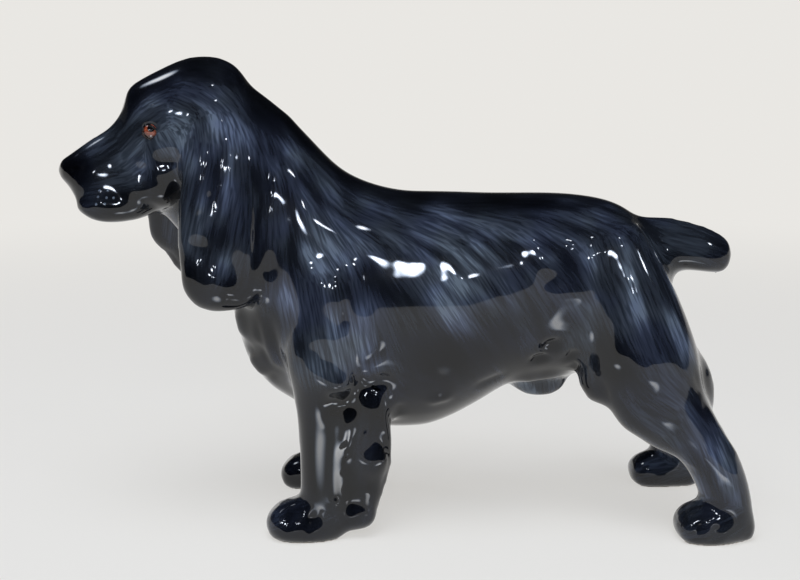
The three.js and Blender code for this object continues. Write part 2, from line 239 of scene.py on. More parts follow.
# %% [markdown]
# ## Carving
# Hair and features are carved as strokes, as a modeller does with a loop tool. They could be sculpted by
# hand in Sculpt Mode, but a script can only repeat what is written down. So a stroke is a short line of
# pixels picked on the photograph, with its height and its half width in millimetres; a minus
# cuts a groove. Each line is carried onto the skin along the camera's lines of sight, and its mirror
# image goes onto the dog's right side. The head has its own middle plane, because it is turned.

# %% Strokes of the head and neck
FACE = [
    (-0.5, 1.8, [(138, 115), (148, 112), (160, 114)]),
    (0.3, 1.6, [(138, 122), (148, 120), (158, 122)]),
    (2.4, 5.0, [(120, 193), (140, 192), (158, 193), (184, 188)]),
    (1.5, 4.5, [(64, 184), (76, 198), (92, 208), (110, 211), (128, 207), (146, 200), (156, 196)]),
    (-0.35, 0.7, [(142, 130), (136, 135)]),
    (0.5, 1.7, [(134, 144), (138, 156), (142, 169)]),
    (0.5, 1.6, [(150, 146), (160, 149), (170, 147), (182, 141)]),
    (-0.6, 1.5, [(157, 160), (168, 163), (181, 158)]),
    (0.4, 1.6, [(150, 170), (165, 172), (181, 168)]),
    (-0.4, 1.4, [(139, 165), (146, 178), (147, 188)]),
    (-0.6, 0.9, [(133, 208), (140, 200), (150, 200), (157, 207), (156, 213)]),
    (-0.35, 0.6, [(67, 181), (78, 194), (90, 206), (104, 214), (120, 216)]),
    (-0.9, 0.8, [(70, 172), (74.5, 169.5), (76.5, 165)]),
    (-0.55, 0.8, [(79, 150), (83, 158), (85.5, 167), (82, 177), (76, 186)]),
]
EAR = [
    (1.6, 5.0, [(178, 258), (188, 276), (203, 287), (221, 288), (240, 281)]),
    (-0.9, 1.5, [(222, 118), (224, 140), (221, 165), (216, 190), (209, 212), (200, 230)]),
    (0.5, 2.4, [(207, 125), (206, 150), (204, 175), (199, 200), (192, 225)]),
    (-0.45, 1.8, [(187, 250), (196, 247), (206, 248)]),
    (0.5, 1.0, [(189, 268), (197, 266), (203, 260)]),
    (-0.3, 1.8, [(236, 120), (238, 150), (236, 180), (231, 205), (222, 232), (214, 262), (210, 285)]),
    (-0.6, 1.2, [(256, 135), (258, 170), (258, 210), (256, 245), (250, 280)]),
]
NECK = [
    (-0.4, 1.5, [(266, 122), (268, 150), (270, 190), (268, 236)]),
    (-0.14, 2.2, [(279, 130), (284, 160), (287, 195), (284, 240)]),
    (-0.1, 2.4, [(304, 155), (313, 185), (317, 212), (313, 235)]),
]
print("strokes of the head and neck:", len(FACE + EAR + NECK))

# %% Strokes of the forequarters
CHEST = [
    (1.2, 2.8, [(238, 304), (241, 322), (246, 342)]),
    (-1.1, 1.8, [(236, 346), (247, 352), (262, 346)]),
    (1.1, 2.6, [(248, 350), (257, 364), (270, 379)]),
    (-1.0, 1.8, [(258, 384), (272, 378), (284, 366)]),
    (-0.9, 1.8, [(266, 304), (272, 335), (281, 360), (293, 384)]),
    (-0.56, 1.3, [(256, 312), (259, 335), (266, 358), (279, 378)]),
]
SHOULDER = [
    (-0.5, 2.4, [(358, 255), (363, 275), (361, 295), (357, 315)]),
    (-0.08, 1.6, [(396, 250), (397, 266), (396, 282)]),
    (-0.08, 1.6, [(411, 248), (412, 264), (413, 280)]),
    (-0.14, 2.2, [(438, 250), (440, 268), (443, 288)]),
    (0.2, 3.4, [(457, 280), (462, 276)]),
    (-1.0, 2.4, [(341, 321), (349, 320)]),
    (0.5, 2.0, [(300, 345), (318, 338), (334, 343), (343, 356)]),
    (-0.9, 2.0, [(320, 352), (336, 366), (347, 382)]),
    (-0.9, 1.0, [(384, 337), (381, 346), (378, 354), (368, 363), (357, 362)]),
    (2.0, 6.5, [(276, 338), (292, 356), (316, 374), (340, 390), (364, 402)]),
    (-0.7, 0.9, [(349, 373), (357, 381)]),
    (-0.7, 0.9, [(358, 373), (364, 384)]),
    (-1.5, 2.4, [(358, 400), (370, 388), (384, 382), (398, 390)]),
    (-0.6, 0.9, [(399, 402), (401, 415)]),
]
FORELEG = [
    (0.91, 2.0, [(304, 362), (318, 373), (332, 385), (349, 397)]),
    (-1.8, 3.4, [(316, 398), (332, 402), (348, 403), (364, 406)]),
    (0.59, 1.5, [(344, 418), (346, 432), (343, 452)]),
    (0.45, 1.5, [(370, 426), (361, 445), (352, 463)]),
    (-0.52, 1.3, [(356, 424), (351, 441), (346, 460)]),
    (1.7, 4.0, [(350, 468), (366, 466), (384, 459), (396, 442)]),
    (-0.65, 0.9, [(352, 482), (351, 500), (348, 517)]),
    (-0.6, 1.6, [(361, 460), (366, 478), (372, 492), (376, 502)]),
    (0.52, 1.0, [(380, 452), (383, 465)]),
    (-0.45, 1.0, [(384, 430), (387, 455), (384, 480), (378, 500)]),
    (1.7, 4.0, [(336, 518), (354, 520), (372, 513), (386, 494)]),
    (-0.45, 0.9, [(368, 498), (368, 518)]),
    (0.59, 1.2, [(327, 500), (334, 503), (338, 510), (333, 516)]),
    (1.3, 3.5, [(266, 520), (280, 530), (302, 534), (325, 533), (346, 527)]),
    (-1.3, 1.1, [(294, 506), (288, 520), (288, 536)]),
    (-1.3, 1.1, [(314, 511), (309, 524), (309, 538)]),
]
print("strokes of the forequarters:", len(CHEST + SHOULDER + FORELEG))

# %% Strokes of the hindquarters
FLANK = [
    (0.9, 3.6, [(521, 220), (532, 238), (545, 262), (553, 284)]),
    (0.9, 2.4, [(545, 300), (558, 295), (575, 293), (592, 297)]),
    (-0.5, 3.0, [(550, 320), (570, 324), (590, 322)]),
    (-1.6, 1.7, [(540, 352), (552, 345), (566, 344)]),
    (-1.3, 1.3, [(528, 362), (540, 358), (552, 358)]),
    (1.6, 3.0, [(508, 380), (530, 376), (552, 373), (572, 376), (584, 384)]),
    (-1.2, 1.0, [(566, 362), (574, 354), (580, 357)]),
    (-1.2, 1.0, [(570, 370), (578, 362)]),
    (0.4, 2.0, [(565, 243), (575, 244), (585, 250)]),
    (0.4, 2.0, [(596, 250), (602, 255)]),
    (0.8, 1.6, [(425, 404), (440, 398), (455, 397)]),
    (-0.5, 1.4, [(470, 388), (490, 380), (510, 372)]),
]
HIND_LEG = [
    (0.9, 5.5, [(596, 354), (612, 360), (640, 366), (668, 362), (684, 356)]),
    (0.72, 2.0, [(626, 361), (637, 366), (645, 379), (652, 396)]),
    (0.33, 1.6, [(616, 350), (632, 356), (650, 358)]),
    (0.52, 2.0, [(590, 382), (596, 395), (602, 407)]),
    (-0.45, 1.1, [(602, 378), (606, 392), (610, 404)]),
    (0.59, 1.8, [(640, 405), (652, 412), (661, 424), (664, 440)]),
    (-0.33, 0.9, [(655, 425), (668, 428), (682, 432), (692, 436)]),
    (-0.26, 0.9, [(652, 418), (668, 420), (684, 425)]),
    (-0.26, 0.9, [(662, 436), (675, 440), (688, 442)]),
    (-0.33, 1.2, [(700, 400), (712, 425), (722, 440)]),
    (0.45, 1.2, [(683, 461), (692, 463), (699, 470)]),
    (0.45, 1.0, [(712, 480), (718, 492), (724, 508)]),
    (0.39, 1.8, [(722, 440), (733, 450), (738, 462)]),
    (-0.39, 1.0, [(695, 370), (698, 383), (704, 394)]),
    (0.33, 1.6, [(703, 350), (709, 368), (707, 390)]),
    (1.1, 3.5, [(674, 522), (688, 533), (708, 537), (730, 536), (748, 530)]),
    (-1.3, 1.1, [(703, 520), (698, 532), (697, 543)]),
    (-1.3, 1.1, [(718, 522), (714, 534), (713, 544)]),
]
TAIL = [
    (-0.4, 1.2, [(655, 228), (662, 240), (664, 252)]),
    (1.0, 3.2, [(666, 254), (690, 261), (712, 264), (727, 258)]),
]
STROKES = FACE + EAR + NECK + CHEST + SHOULDER + FORELEG + FLANK + HIND_LEG + TAIL
print("strokes in all:", len(STROKES))

# %% Lines on the skin
PIXELS_A_STEP = 1.6


def resampled(path):
    """A smooth curve through the picked pixels, cut into short steps."""
    picked = np.array(path, float)
    picked = np.vstack([2 * picked[0] - picked[1], picked, 2 * picked[-1] - picked[-2]])
    curve = []
    for a, b, c, d in zip(picked, picked[1:], picked[2:], picked[3:]):
        steps = max(2, int(np.linalg.norm(c - b) / PIXELS_A_STEP))
        for t in np.arange(steps) / steps:
            bend = (2 * a - 5 * b + 4 * c - d) * t ** 2 + (3 * b - a - 3 * c + d) * t ** 3
            curve.append((2 * b + (c - a) * t + bend) / 2)
    return curve + [picked[-2]]


def on_skin(pixel):
    """The point where the line of sight through a pixel meets the skin, and the way the skin faces."""
    return skin_tree.ray_cast(camera.location, sight(pixel))[:2]


# %% Mirror images
eyes = {side: sum(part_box(f"{side}_eye"), Vector()) / 2 for side in SIDES}
head_middle = (eyes["left"] + eyes["right"]) / 2
head_across = (eyes["left"] - eyes["right"]).normalized()
body_across = Vector((0, -1, 0))
hind_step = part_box("left_hind_leg")[1].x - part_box("right_hind_leg")[1].x
hip_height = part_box("left_hind_leg")[1].z
print("eyes apart:", round((eyes["left"] - eyes["right"]).length / MM, 1), "mm")


def reflected(place, across, middle=Vector()):
    """The mirror image of a point, or of a direction."""
    return place - 2 * (place - middle).dot(across) * across


def middle_plane(casting):
    """A point and a direction of the plane that a casting mirrors in."""
    if casting in ("head", "left_ear"):
        return head_middle, head_across
    return Vector(), body_across


def mirrored(place, casting):
    """The matching point on the dog's right side, brought onto the skin."""
    middle, across = middle_plane(casting)
    other = reflected(place, across, middle)
    if casting == "left_hind_leg":
        other.x -= hind_step * (1 - place.z / hip_height)
    return skin_tree.find_nearest(other)[:2]


def both_sides(path):
    """A line on the skin, with the way the skin faces, and for the left side its mirror image."""
    line = [on_skin(pixel) for pixel in resampled(path)]
    line = [(place, facing) for place, facing in line if place is not None]
    casting = casting_at(line[len(line) // 2][0])
    if casting.startswith("right_"):
        return [line]
    return line, [mirrored(place, casting) for place, _ in line]


# %% [markdown]
# ## Bending the far ear
# No two ears of a hand-finished dog hang alike. The far one is a little shorter and reaches further
# forward than the near one. A lattice could bend it, but its edge is pushed at just a few points, as a
# potter bends leather-hard clay with a thumb, so a soft push is enough. Each push has a pixel, the way
# across and up in millimetres, and the reach of the thumb.

# %% Pushes on the far ear
PUSHES = [((162, 240), -2.0, 0.5, 6.0), ((178, 270), -0.5, 3.2, 7.0)]
THUMB_EDGE = 2.5
BENT_ROUNDS = 12
camera_right = camera_turn.col[0]
camera_up = camera_turn.col[1]
skin_points = points_of(skin)
skin_normals = normals_of(skin)
skin_smooth = smoother(edges_of(skin), len(skin_points))
bent = np.zeros_like(skin_points)
for pixel, across, up, width in PUSHES:
    thumb = np.linalg.norm(skin_points - np.array(on_skin(pixel)[0]), axis=1) / (width * MM)
    near = np.flatnonzero(thumb < THUMB_EDGE)
    on_ear = np.array([casting_at(point) == "right_ear" for point in skin_points[near]])
    way = np.array(across * camera_right + up * camera_up) * MM
    bent[near] += (on_ear * np.exp(-thumb[near] ** 2))[:, None] * way
skin_points = skin_points + skin_smooth(bent, BENT_ROUNDS)
print("far ear bent by up to", round(np.linalg.norm(bent, axis=1).max() / MM, 2), "mm")

# %% [markdown]
# ## Cutting the strokes
# A loop tool leaves a soft groove that runs out at both ends. Each stroke lifts or lowers the points near
# its line along the way the skin faces, by a bell curve across the line. Only the lift is kept for now,
# because the paint has to know how deep each groove is. The vent hole under the belly comes last; without
# one, a hollow dog would burst in the kiln.

# %% Lift of the skin
END_TAPER = 0.35
STROKE_EDGE = 2.5
SAME_SIDE = 0.2
STROKE_ROUNDS = 6
VENT_RADIUS = 1.5 * MM
VENT_DEPTH = 2.0 * MM
lift = np.zeros(len(skin_points))


def carve(line, height, width):
    """Adds one stroke to the lift of the skin: a soft ridge or groove that fades at its ends."""
    places, facing = [np.array(values) for values in zip(*line)]
    margin = STROKE_EDGE * width
    inside = (skin_points > places.min(0) - margin) & (skin_points < places.max(0) + margin)
    near = np.flatnonzero(inside.all(1))
    if not len(near):
        return
    gaps = np.linalg.norm(skin_points[near, None] - places[None], axis=2)
    nearest = gaps.argmin(1)
    gap = gaps.min(1)
    along = nearest / max(1, len(places) - 1)
    ends = np.clip(np.minimum(along, 1 - along) / END_TAPER, 0, 1)
    same_side = (skin_normals[near] * facing[nearest]).sum(1) > SAME_SIDE
    lift[near] += height * np.exp(-((gap / width) ** 2)) * ends ** 2 * (3 - 2 * ends) * same_side


for height, width, path in STROKES:
    for line in both_sides(path):
        carve(line, height * MM, width * MM)
lift = skin_smooth(lift[:, None], STROKE_ROUNDS)[:, 0]
belly = skin_tree.ray_cast(Vector((VENT.x, VENT.y, 0)), Vector((0, 0, 1)))[0]
from_vent = np.linalg.norm(skin_points - np.array(belly), axis=1) / VENT_RADIUS
lift -= VENT_DEPTH * np.exp(-(from_vent ** 4))
print("carved between", round(lift.min() / MM, 2), "and", round(lift.max() / MM, 2), "mm")

# %% [markdown]
# ## The lie of the hair
# The painter draws hair with a fine brush, in pale blue-grey over black, and the strokes follow the coat.
# The directions could be combed by hand on particle hair, but the real hair is flat paint. So each mark of
# the list below gives a pixel, the angle of the strokes there and how pale they are; a few marks are
# painted shade and one is a painted highlight, as noted in the list. Between the marks both are blended.
# The angle is blended as an axis, because a stroke has no front or back.

# %% Marks of the coat
COAT = [
    (105, 150, 34, 0.45), (115, 175, 10, 0.3), (120, 205, 0, 0.05), (70, 165, 0, 0.0), (135, 95, 50, 0.1),
    (125, 160, 40, 0.7), (165, 150, 120, 0.65), (155, 112, 30, 0.75), (180, 105, 150, 0.8),
    (215, 95, 140, 0.6), (195, 65, 10, 0.02), (205, 80, 160, 0.08), (165, 85, 20, 0.1),
    (230, 80, 140, 0.05), (170, 190, 100, 0.15), (212, 125, 100, 0.9),
    (200, 170, 80, 0.9), (235, 175, 85, 1.0), (230, 215, 75, 1.0), (238, 255, 70, 0.95),
    (195, 280, 90, 0.1), (225, 297, 70, 0.15), (262, 150, 95, 0.7), (285, 160, 111, 0.75),
    (320, 190, 120, 0.55), (290, 120, 120, 0.03), (350, 180, 130, 0.08), (270, 230, 95, 0.5),
    (245, 330, 100, 0.15), (320, 265, 120, 1.0), (305, 300, 100, 1.0), (350, 300, 100, 0.55),
    (350, 340, 110, 0.6), (325, 420, 95, 0.08), (320, 480, 95, 0.08), (300, 515, 20, 0.3),
    (370, 440, 80, 0.15), (370, 210, 150, 0.5), (500, 195, 175, 0.02), (420, 195, 175, 0.03),
    (590, 200, 165, 0.1), (450, 220, 145, 0.72), (480, 260, 130, 0.75), (455, 300, 120, 0.85),
    (500, 285, 120, 0.5), (545, 250, 140, 0.5), (460, 360, 120, 0.1), (430, 410, 150, 0.08),
    (560, 215, 150, 0.35), (600, 215, 140, 0.6), (560, 275, 130, 0.2), (610, 260, 105, 0.75),
    (630, 310, 110, 0.95), (670, 330, 115, 0.75), (640, 270, 110, 0.75), (620, 370, 100, 0.12),
    (645, 385, 130, 0.3), (660, 410, 150, 0.35), (700, 430, 120, 0.45), (722, 450, 110, 0.6),
    (720, 480, 105, 0.6), (710, 525, 20, 0.55), (690, 240, 165, 0.45), (722, 255, 165, 0.2),
    (460, 203, 175, 0.08), (540, 200, 172, 0.06), (385, 193, 155, 0.1), (335, 165, 130, 0.05),
    (310, 143, 125, 0.03), (265, 105, 120, 0.05), (625, 208, 150, 0.2), (595, 390, 100, 0.25),
    (545, 370, 100, 0.1), (530, 310, 120, 0.35), (400, 285, 120, 0.3),
    # Painted highlight: the mark at (537, 387) paints a pale gleam on the sheath.
    # Painted shade: the marks at x 266 to 268 darken the paint in the gap between the ear and the neck.
    (266, 185, 95, 0.12), (268, 212, 95, 0.12), (266, 262, 92, 0.1), (537, 387, 100, 0.95),
    # Painted shade: the marks of 0.3 to 0.42 darken the paint along the ear's groove and its front edge.
    (220, 172, 84, 0.42), (217, 204, 78, 0.4), (210, 232, 74, 0.42), (187, 218, 80, 0.3),
    (189, 178, 84, 0.3), (204, 188, 78, 1.0), (240, 200, 82, 1.0),
]
print("marks of the coat:", len(COAT))

# %% Blending the marks
BLEND = 4 * MM
DOWN_AND_BACK = math.radians(-28)


def coat_mark(pixel, degrees):
    """Where a mark sits and the way its hair lies, on the dog's left side and on its right side."""
    place, facing = on_skin(pixel)
    turn = math.radians(degrees)
    way = camera_right * math.cos(turn) + camera_up * math.sin(turn)
    way = (way - way.dot(facing) * facing).normalized()
    casting = casting_at(place)
    _, across = middle_plane(casting)
    return (place, way), (mirrored(place, casting)[0], reflected(way, across))


tensor = np.zeros((len(skin_points), 3, 3))
light = np.zeros(len(skin_points))
total = np.zeros(len(skin_points))
for px, py, degrees, pale in COAT:
    for place, way in coat_mark((px, py), degrees):
        away = ((skin_points - np.array(place)) ** 2).sum(1)
        weight = (BLEND ** 2 / (away + BLEND ** 2)) ** 2
        tensor += weight[:, None, None] * np.outer(way, way)
        light += weight * pale
        total += weight
light /= total
hair = np.linalg.eigh(tensor)[1][:, :, 2]
hair -= (hair * skin_normals).sum(1)[:, None] * skin_normals
hair /= np.maximum(np.linalg.norm(hair, axis=1), 1e-6)[:, None]
down_and_back = np.array(camera_right * math.cos(DOWN_AND_BACK) + camera_up * math.sin(DOWN_AND_BACK))
hair *= np.where(hair @ down_and_back < 0, -1, 1)[:, None]
print("mean paleness:", round(light.mean(), 2))

# %% [markdown]
# ## Brush strokes
# A loaded brush leaves streaks. A stretched noise texture could draw them, but it can't follow a coat that
# turns on every side. So random speckles are dragged along the lie of the hair until they are streaks too:
# each vertex takes on the mean of the neighbours that lie ahead of it and behind it. These are the passes
# of the brush. The finer streaks of its bristles come with the material.

# %% Streaks along the hair
ALONG_HAIR = 4
SPECKLE_ROUNDS = 4
DRAG_ROUNDS = 120
SEED = 7
corner_ids = np.empty(len(skin.loops), np.int32)
skin.loops.foreach_get("vertex_index", corner_ids)
quads = corner_ids.reshape(-1, 4)
pairs = np.vstack([edges_of(skin), quads[:, [0, 2]], quads[:, [1, 3]]])
step = skin_points[pairs[:, 1]] - skin_points[pairs[:, 0]]
step /= np.linalg.norm(step, axis=1)[:, None]
with_hair = ((step * hair[pairs[:, 0]]).sum(1) * (step * hair[pairs[:, 1]]).sum(1)) ** ALONG_HAIR
linked = np.bincount(pairs[:, 0], with_hair, len(hair)) + np.bincount(pairs[:, 1], with_hair, len(hair))


def dragged(values, rounds):
    """Values drawn out along the lie of the hair, with mean 0 and deviation 1."""
    for _ in range(rounds):
        ahead = np.bincount(pairs[:, 0], with_hair * values[pairs[:, 1]], len(values))
        behind = np.bincount(pairs[:, 1], with_hair * values[pairs[:, 0]], len(values))
        values = (values + (ahead + behind) / linked) / 2
    return (values - values.mean()) / values.std()


chance = np.random.default_rng(SEED)
speckle = chance.standard_normal((len(hair), 1))
brush_passes = dragged(skin_smooth(speckle, SPECKLE_ROUNDS)[:, 0], DRAG_ROUNDS)
print("streaks from", len(pairs), "pairs of neighbours")

# %% [markdown]
# ## Painted shade in the grooves, and waves in the clay
# Grooves are painted darker than the ridges, as painted shade. How pale each point is painted is worked
# out here once, and the material reads it. Hand-finished clay is never quite even: slow waves, a tenth of a
# millimetre high, keep the reflections from looking machined. Then the skin takes on its carved form.

# %% Paint and waves
WAVE = 0.11 * MM
WAVE_LENGTH = 15 * MM
PASS_CONTRAST = 1.8
LEAST_PAINT, PASS_PAINT = 0.36, 0.95
DEEP_GROOVE = 0.5 * MM
GROOVE_SHADE = 0.5
passes = 1 / (1 + np.exp(-PASS_CONTRAST * brush_passes))
# Painted shade: the deeper a groove, the darker its paint.
grooved = np.clip(-lift / DEEP_GROOVE, 0, 1)
paint = np.clip(light * (LEAST_PAINT + PASS_PAINT * passes) * (1 - GROOVE_SHADE * grooved), 0, 1)
waves = np.array([noise.noise(Vector(point) / WAVE_LENGTH) for point in skin_points])
lift = lift + WAVE * waves
move_to(skin, skin_points + lift[:, None] * skin_normals)
print("paint from", round(paint.min(), 2), "to", round(paint.max(), 2))

# %% [markdown]
# ## Room for the eyes
# The eyes are enamel balls in sockets, and the lids close over them. A Boolean could cut the openings, but
# its rim would be jagged on so fine a mesh. So the points near each ball are moved straight out from its
# middle or in towards it: inside the opening the skin lies below the enamel, and outside it just over it.

# %% Opening between the lids
EYE_RADIUS = (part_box("left_eye")[1].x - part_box("left_eye")[0].x) / 2
LID_RADIUS = EYE_RADIUS + 0.1 * MM
SOCKET_RADIUS = EYE_RADIUS - 0.35 * MM
LID_REACH = 2.5 * MM
BEYOND = 999
UPPER_LID = [(143, 131), (144.2, 126.5), (147, 124.6), (151, 126), (155, 129), (157.5, 133)]
LOWER_LID = [(143, 131), (144.8, 135.5), (149, 139), (153, 139.8), (156.3, 137.2), (157.5, 133)]


def on_ball(pixel, radius):
    """The point where the line of sight through a pixel meets a ball round the left eye."""
    way = sight(pixel)
    nearest = (eyes["left"] - camera.location).dot(way)
    foot = camera.location + nearest * way
    depth = max(0.0, radius ** 2 - (foot - eyes["left"]).length_squared) ** 0.5
    return eyes["left"] + (foot - depth * way - eyes["left"]).normalized() * radius


def pixels_of(points):
    """Where points appear in the photograph."""
    local = (points - np.array(camera.location)) @ np.array(camera_turn)
    scale = PIXELS_PER_UNIT / -local[:, 2]
    return PHOTO_WIDTH / 2 + local[:, 0] * scale, PHOTO_HEIGHT / 2 - local[:, 1] * scale


formed = points_of(skin)
for side in SIDES:
    out = formed - np.array(eyes[side])
    reach_out = np.linalg.norm(out, axis=1)
    near = np.flatnonzero(reach_out < EYE_RADIUS + LID_REACH)
    seen = formed[near]
    if side == "right":
        off_middle = (seen - np.array(head_middle)) @ np.array(head_across)
        seen = seen - 2 * off_middle[:, None] * np.array(head_across)
    across, down = pixels_of(seen)
    top = np.interp(across, *zip(*UPPER_LID), left=BEYOND, right=BEYOND)
    bottom = np.interp(across, *zip(*LOWER_LID), left=-BEYOND, right=-BEYOND)
    opening = (down > top) & (down < bottom)
    below = np.minimum(reach_out[near], SOCKET_RADIUS)
    over = np.maximum(reach_out[near], LID_RADIUS)
    kept = np.where(opening, below, over)
    formed[near] = np.array(eyes[side]) + out[near] / reach_out[near, None] * kept[:, None]
move_to(skin, formed)
print("eye radius:", round(EYE_RADIUS / MM, 2), "mm")

# %% [markdown]
# ## Soles
# The paws are wiped clean of glaze, so that they do not stick in the kiln, and ground flat, so that the dog
# stands. The lowest points are set to the height of the table, which keeps the mesh whole where a cut would
# not, and a value marks them as bare clay for the material.

# %% Flat soles
SOLE = 0.25 * MM
BARE_HEIGHT = 0.4 * MM
standing = points_of(skin)
standing[:, 2] = np.where(standing[:, 2] < SOLE, 0.0, standing[:, 2])
move_to(skin, standing)
sole = (standing[:, 2] < BARE_HEIGHT).astype(float)
print("sole vertices:", int(sole.sum()))

# %% [markdown]
# ## Back into castings
# The skin is cut where the castings meet, so that each casting is a piece again. Each square goes to the
# casting that lies nearest, and a few rounds of votes among neighbours straighten the border. Both sides
# of a cut keep the same points and the same shading, so the seam is as hard to find as on the wiped clay.
# Each cut is closed with a fan of triangles inside the dog.

# %% Which casting each square belongs to
VOTE_ROUNDS = 8
CORNERS = 4
sides = np.array([list(square.vertices) for square in outer.polygons])
centres = points_of(outer)[sides].mean(1)
owner = np.array([CASTINGS.index(casting_at(centre)) for centre in centres])
for _ in range(VOTE_ROUNDS):
    votes = np.zeros((len(outer.vertices), len(CASTINGS)))
    np.add.at(votes, (sides.ravel(), np.repeat(owner, CORNERS)), 1)
    owner = votes[sides].sum(1).argmax(1)
owner = np.repeat(owner, CORNERS)
print({name: int((owner == number).sum()) for number, name in enumerate(CASTINGS)})

# %% Cutting
GLAZE_ROUNDS = 5
FINISH = {"paint": paint, "sole": sole}
finished_normals = skin_smooth(normals_of(skin), GLAZE_ROUNDS)
finished_normals /= np.linalg.norm(finished_normals, axis=1)[:, None]
finished_points = points_of(skin)


def rim_loops(squares_used):
    """The closed rows of points round the openings of a cut piece."""
    ahead = np.vstack([squares_used[:, [i, (i + 1) % CORNERS]] for i in range(CORNERS)])
    keys = ahead[:, 0].astype(np.int64) * len(finished_points) + ahead[:, 1]
    back_keys = ahead[:, 1].astype(np.int64) * len(finished_points) + ahead[:, 0]
    following = {}
    for start, end in ahead[~np.isin(keys, back_keys)].tolist():
        following.setdefault(start, []).append(end)
    loops = []
    while following:
        loop = [next(iter(following))]
        while loop[-1] in following:
            ends = following[loop[-1]]
            loop.append(ends.pop())
            if not ends:
                del following[loop[-2]]
        loops.append(loop[:-1])
    return loops


def cut_piece(name):
    """One casting: its squares of the skin, with the openings closed."""
    mine = quads[owner == CASTINGS.index(name)]
    used, local = np.unique(mine, return_inverse=True)
    faces = local.reshape(-1, 4).tolist()
    points = finished_points[used].tolist()
    normals = finished_normals[used].tolist()
    place_of = {old: new for new, old in enumerate(used.tolist())}
    for loop in rim_loops(mine):
        ring = [place_of[old] for old in loop]
        middle = finished_points[loop].mean(0)
        points.append(middle.tolist())
        normals.append((-finished_normals[loop].mean(0)).tolist())
        faces += [[b, a, len(points) - 1] for a, b in zip(ring, ring[1:] + ring[:1])]
    extra = len(points) - len(used)
    finish = {key: np.append(values[used], np.zeros(extra)) for key, values in FINISH.items()}
    finish["comb"] = np.vstack([hair[used], np.zeros((extra, 3))])
    return points, faces, normals, finish


castings = {name: cut_piece(name) for name in CASTINGS}
print({name: len(piece[1]) for name, piece in castings.items()})

# %% [markdown]
# ## Lids and whisker dots
# A lid is a thin roll of clay laid round the eye's opening, and the whisker dots are touches of slip. They
# are finer than the squares of the skin, so carving can't make them. They are separate small forms, sunk
# into the head and glazed with it.

# %% Small forms for the head
finished_tree = BVHTree.FromPolygons(finished_points.tolist(), quads.tolist())
WHISKERS = [(100, 191), (108, 191), (99, 198), (107, 199), (114, 199), (98, 205), (105.5, 205)]
WHISKER_PALENESS = 0.95
DOT_RADIUS = 0.36 * MM
DOT_FLATNESS = 0.35
LID_ROLLS = ((UPPER_LID, 0.34 * MM), (LOWER_LID, 0.22 * MM))
LID_PALENESS = 0.05
LID_END = 0.45
LID_SIDES = 10


def roll(path, radii, outward):
    """A roll of clay along a path of points, closed at both ends."""
    shape = bmesh.new()
    rings = []
    for number, (place, radius) in enumerate(zip(path, radii)):
        along = (path[min(number + 1, len(path) - 1)] - path[max(number - 1, 0)]).normalized()
        across = along.cross(outward).normalized()
        up = across.cross(along)
        turns = [2 * math.pi * i / LID_SIDES for i in range(LID_SIDES)]
        ring = [place + radius * (math.cos(turn) * across + math.sin(turn) * up) for turn in turns]
        rings.append([shape.verts.new(point) for point in ring])
    for low, high in zip(rings, rings[1:]):
        for i in range(LID_SIDES):
            shape.faces.new((low[i - 1], low[i], high[i], high[i - 1]))
    shape.faces.new(rings[0])
    shape.faces.new(rings[-1])
    bmesh.ops.recalc_face_normals(shape, faces=shape.faces)
    return shape


def dot(place, facing):
    """A low round touch of slip."""
    shape = bmesh.new()
    turn = facing.to_track_quat("Z", "Y").to_matrix().to_4x4()
    size = Matrix.Diagonal((DOT_RADIUS, DOT_RADIUS, DOT_RADIUS * DOT_FLATNESS, 1))
    placed = Matrix.Translation(place) @ turn @ size
    bmesh.ops.create_icosphere(shape, subdivisions=3, radius=1, matrix=placed)
    return shape


# %% Pressing them on
def press_on(piece, shape, paleness):
    """Adds a small form to a piece."""
    points, faces, normals, finish = piece
    shape.normal_update()
    shape.verts.index_update()
    first = len(points)
    points += [list(vert.co) for vert in shape.verts]
    normals += [list(vert.normal) for vert in shape.verts]
    faces += [[first + vert.index for vert in face.verts] for face in shape.faces]
    count = len(shape.verts)
    for key in FINISH:
        finish[key] = np.append(finish[key], np.full(count, paleness if key == "paint" else 0.0))
    finish["comb"] = np.vstack([finish["comb"], np.tile((1.0, 0.0, 0.0), (count, 1))])
    shape.free()


for pixel in WHISKERS:
    left = on_skin(pixel)[0]
    for place in (left, reflected(left, head_across, head_middle)):
        spot, facing, _, _ = finished_tree.find_nearest(place)
        press_on(castings["head"], dot(spot, facing), WHISKER_PALENESS)
for path, thickness in LID_ROLLS:
    left = [on_ball(pixel, LID_RADIUS) for pixel in resampled(path)]
    right = [reflected(place, head_across, head_middle) for place in left]
    swell = [math.sin(math.pi * i / (len(left) - 1)) for i in range(len(left))]
    radii = [thickness * (LID_END + (1 - LID_END) * part) for part in swell]
    outward = (left[len(left) // 2] - eyes["left"]).normalized()
    press_on(castings["head"], roll(left, radii, outward), LID_PALENESS)
    press_on(castings["head"], roll(right, radii, reflected(outward, head_across)), LID_PALENESS)
print("head after lids and dots:", len(castings["head"][1]), "faces")

# %% [markdown]
# ## The visible pieces
# Each casting becomes one object, which stands for its solid and for the slip of its joint, and rides on
# the figurine's only body. Its points carry the paint, the bare soles and the lie of the hair as
# attributes, so one material can serve all the pieces. The smoothed directions become custom normals,
# because a glaze flows over tiny facets and levels them.


# %% Piece objects
def new_piece(name, points, faces, normals, finish, *nodes):
    """A visible piece with its painted values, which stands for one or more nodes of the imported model."""
    mesh = bpy.data.meshes.new(name)
    mesh.from_pydata(points, [], faces)
    mesh.polygons.foreach_set("use_smooth", np.ones(len(faces), bool))
    for key, values in finish.items():
        kind, field = ("FLOAT_VECTOR", "vector") if values.ndim == 2 else ("FLOAT", "value")
        layer = mesh.attributes.new(key, kind, "POINT")
        layer.data.foreach_set(field, values.astype(np.float32).ravel())
    mesh.normals_split_custom_set_from_vertices(normals)
    piece = bpy.data.objects.new(name, mesh)
    bpy.context.scene.collection.objects.link(piece)
    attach(piece, "root")
    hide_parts(*nodes)
    return piece


